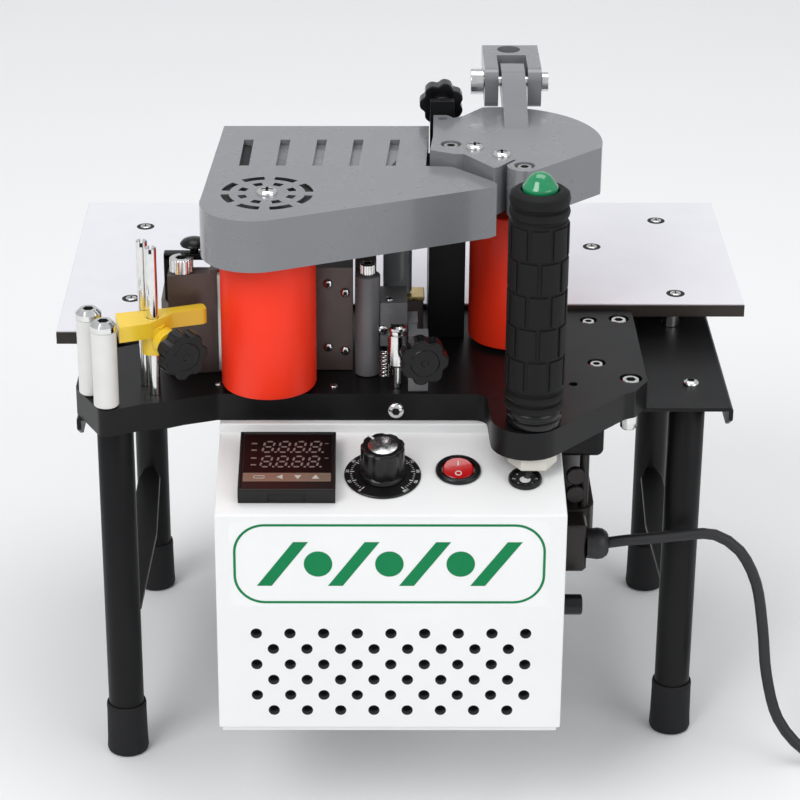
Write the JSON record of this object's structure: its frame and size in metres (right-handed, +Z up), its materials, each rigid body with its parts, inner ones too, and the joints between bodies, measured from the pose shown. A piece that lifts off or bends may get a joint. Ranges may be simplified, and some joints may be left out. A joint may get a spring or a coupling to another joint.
{
  "type": "edge banding machine",
  "caption": "Bench edge banding machine: small legged table, heated glue pot, two silicone rollers under grey gear covers, upright grip and a sloped control box.",
  "frame": {"origin": "on the floor, under the middle of the table, midway between the front of the control box and the back of the table", "axes": "+X to the operator's right along the table, +Y away from the operator, +Z up"},
  "size_m": [0.5331, 0.3412, 0.3615],
  "materials": {
    "white_laminate": "satin melamine board with dark edging",
    "black_steel": "satin black powder coat",
    "white_steel": "white powder coat",
    "grey_casting": "glossy mid grey paint on a casting",
    "black_rubber": "matt moulded rubber",
    "black_plastic": "semi gloss moulding",
    "orange_silicone": "smooth red-orange silicone",
    "brown_ptfe": "brown non-stick coating on cast aluminium",
    "chrome_steel": "bright plated steel",
    "white_nylon": "white turned nylon",
    "yellow_plastic": "yellow moulding",
    "green_plastic": "translucent green cap",
    "red_plastic": "red translucent rocker",
    "aluminium": "turned aluminium"
  },
  "bodies": {
    "frame": {"table_board_left": "white_laminate", "table_board_right": "white_laminate", "side_channel_left": "black_steel", "side_channel_right": "black_steel", "leg_front_left": "black_steel", "leg_front_right": "black_steel", "leg_back_left": "black_steel", "leg_back_right": "black_steel", "foot_front_left": "black_rubber", "foot_front_right": "black_rubber", "foot_back_left": "black_rubber", "foot_back_right": "black_rubber", "leg_brace_left": "black_steel", "leg_brace_right": "black_steel", "base_plate": "black_steel", "control_box": "white_steel", "control_box_floor": "white_steel", "temperature_controller": "black_plastic", "dial_plate": "black_plastic", "rocker_bezel": "black_plastic", "cable_grommet": "chrome_steel", "fuse_holder": "black_plastic", "gearbox": "black_steel", "drive_motor": "black_plastic", "cord_gland": "black_rubber", "power_cord": "black_rubber", "cord_coil": "black_rubber", "power_plug": "black_rubber", "gear_cover": "grey_casting", "disc_cover": "grey_casting", "hanger_bolt": "chrome_steel", "rear_column": "black_steel", "front_axle": "chrome_steel", "glue_pot": "brown_ptfe", "handle_grip": "black_rubber", "handle_core": "white_nylon", "handle_cable": "black_rubber", "guide_pin_back": "chrome_steel", "guide_pin_front": "chrome_steel", "clamp_post": "grey_casting", "clamp_block": "black_steel", "press_pin": "chrome_steel"},
    "rear_drive": {"rear_roller": "orange_silicone", "rear_shaft": "chrome_steel", "rear_gear": "black_plastic"},
    "idler": {"idler_gear": "black_plastic"},
    "front_drive": {"front_roller": "orange_silicone", "front_gear": "black_plastic"},
    "glue_drive": {"glue_roller": "aluminium", "glue_gear": "black_plastic"},
    "outer_guide": {"guide_roller_outer": "white_nylon"},
    "inner_guide": {"guide_roller_inner": "white_nylon"},
    "speed_dial": {"speed_knob": "black_plastic"},
    "power_rocker": {"rocker_switch": "red_plastic"},
    "start_cap": {"start_button": "green_plastic"},
    "tape_slide": {"tape_guide": "yellow_plastic"},
    "guide_clamp": {"guide_knob": "black_plastic"},
    "rear_clamp": {"rear_knob": "black_plastic"},
    "press_clamp": {"press_knob": "black_plastic"},
    "hanger": {"hanger_clevis": "grey_casting"}
  },
  "joints": [
    {"name": "rear_roller_spin", "type": "hinge", "parent": "frame", "child": "rear_drive", "pos_m": [0.059, -0.025, 0.32], "axis": [0, 0, 1], "continuous": true},
    {"name": "idler_spin", "type": "hinge", "parent": "frame", "child": "idler", "pos_m": [-0.01279, -0.04296, 0.32], "axis": [0, 0, 1], "continuous": true},
    {"name": "front_roller_spin", "type": "hinge", "parent": "frame", "child": "front_drive", "pos_m": [-0.0715, -0.088, 0.32], "axis": [0, 0, 1], "continuous": true},
    {"name": "glue_roller_spin", "type": "hinge", "parent": "frame", "child": "glue_drive", "pos_m": [-0.08095, -0.04708, 0.32], "axis": [0, 0, 1], "continuous": true},
    {"name": "guide_roller_outer_spin", "type": "hinge", "parent": "frame", "child": "outer_guide", "pos_m": [-0.1634, -0.098, 0.248], "axis": [0, 0, 1], "continuous": true},
    {"name": "guide_roller_inner_spin", "type": "hinge", "parent": "frame", "child": "inner_guide", "pos_m": [-0.1544, -0.114, 0.248], "axis": [0, 0, 1], "continuous": true},
    {"name": "speed_knob_turn", "type": "hinge", "parent": "frame", "child": "speed_dial", "pos_m": [-0.0126, -0.1386, 0.19861], "axis": [0, -0.1964, 0.9805], "range_deg": [-190, 110]},
    {"name": "power_rocker_tilt", "type": "hinge", "parent": "frame", "child": "power_rocker", "pos_m": [0.026, -0.1352, 0.19929], "axis": [1, 0, 0], "range_deg": [-16, 0]},
    {"name": "start_button_press", "type": "slide", "parent": "frame", "child": "start_cap", "axis": [0, 0, -1], "range_m": [0, 0.0025], "stiffness_N_per_m": 400, "springref_m": -0.001},
    {"name": "tape_guide_height", "type": "slide", "parent": "frame", "child": "tape_slide", "axis": [0, 0, 1], "range_m": [-0.02, 0.025]},
    {"name": "guide_knob_turn", "type": "hinge", "parent": "tape_slide", "child": "guide_clamp", "pos_m": [-0.1146, -0.118, 0.2572], "axis": [0.5299, -0.848, 0], "continuous": true},
    {"name": "rear_knob_turn", "type": "hinge", "parent": "frame", "child": "rear_clamp", "pos_m": [0.02, 0.031, 0.341], "axis": [0, 1, 0], "continuous": true},
    {"name": "press_knob_turn", "type": "hinge", "parent": "frame", "child": "press_clamp", "pos_m": [0.0085, -0.1075, 0.2494], "axis": [0.1191, -0.9929, 0], "continuous": true},
    {"name": "hanger_tilt", "type": "hinge", "parent": "frame", "child": "hanger", "pos_m": [0.0589, 0.042, 0.349], "axis": [1, 0, 0], "range_deg": [-25, 30]}
  ],
  "couplings": [
    {"joint": "idler_spin", "follows": "rear_roller_spin", "ratio": -0.54167},
    {"joint": "front_roller_spin", "follows": "rear_roller_spin", "ratio": 1},
    {"joint": "glue_roller_spin", "follows": "rear_roller_spin", "ratio": -1.625}
  ]
}
